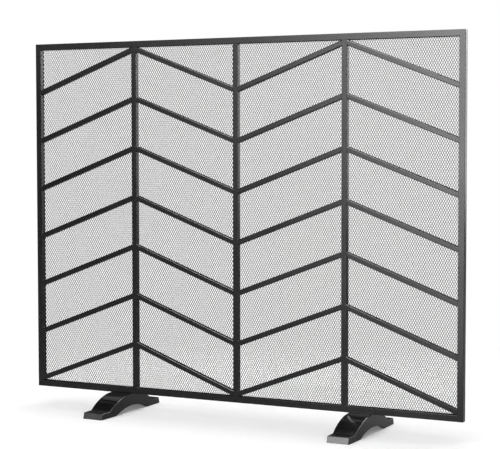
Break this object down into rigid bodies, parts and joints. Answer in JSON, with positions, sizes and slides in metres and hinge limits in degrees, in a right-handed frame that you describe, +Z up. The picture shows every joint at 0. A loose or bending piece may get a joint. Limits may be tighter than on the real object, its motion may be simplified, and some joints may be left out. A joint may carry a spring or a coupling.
{
  "type": "fireplace screen",
  "caption": "Flat free-standing fireplace screen: black tube frame with a chevron of slanted bars in upright bays, fine mesh behind them and arched feet below.",
  "frame": {"origin": "on the floor, under the middle of the frame's width and depth", "axes": "+X along the screen to the viewer's right from the front, +Y to the back, +Z up"},
  "size_m": [0.889, 0.216, 0.716],
  "materials": {
    "powder_coat": "satin black powder coat",
    "mesh_black": "matt black paint",
    "foot_gloss": "gloss black enamel on a casting",
    "zinc_steel": "zinc plated"
  },
  "bodies": {
    "root": {"top_rail": "powder_coat", "bottom_rail": "powder_coat", "left_stile": "powder_coat", "right_stile": "powder_coat", "left_mullion": "powder_coat", "centre_mullion": "powder_coat", "right_mullion": "powder_coat", "bay_1_bar_1": "powder_coat", "bay_1_bar_2": "powder_coat", "bay_1_bar_3": "powder_coat", "bay_1_bar_4": "powder_coat", "bay_1_bar_5": "powder_coat", "bay_1_bar_6": "powder_coat", "bay_1_bar_7": "powder_coat", "bay_2_bar_1": "powder_coat", "bay_2_bar_2": "powder_coat", "bay_2_bar_3": "powder_coat", "bay_2_bar_4": "powder_coat", "bay_2_bar_5": "powder_coat", "bay_2_bar_6": "powder_coat", "bay_2_bar_7": "powder_coat", "bay_3_bar_1": "powder_coat", "bay_3_bar_2": "powder_coat", "bay_3_bar_3": "powder_coat", "bay_3_bar_4": "powder_coat", "bay_3_bar_5": "powder_coat", "bay_3_bar_6": "powder_coat", "bay_3_bar_7": "powder_coat", "bay_4_bar_1": "powder_coat", "bay_4_bar_2": "powder_coat", "bay_4_bar_3": "powder_coat", "bay_4_bar_4": "powder_coat", "bay_4_bar_5": "powder_coat", "bay_4_bar_6": "powder_coat", "bay_4_bar_7": "powder_coat", "mesh_sheet": "mesh_black", "left_foot": "foot_gloss", "right_foot": "foot_gloss", "foot_screws": "zinc_steel", "rivet_nuts": "zinc_steel"}
  },
  "joints": []
}
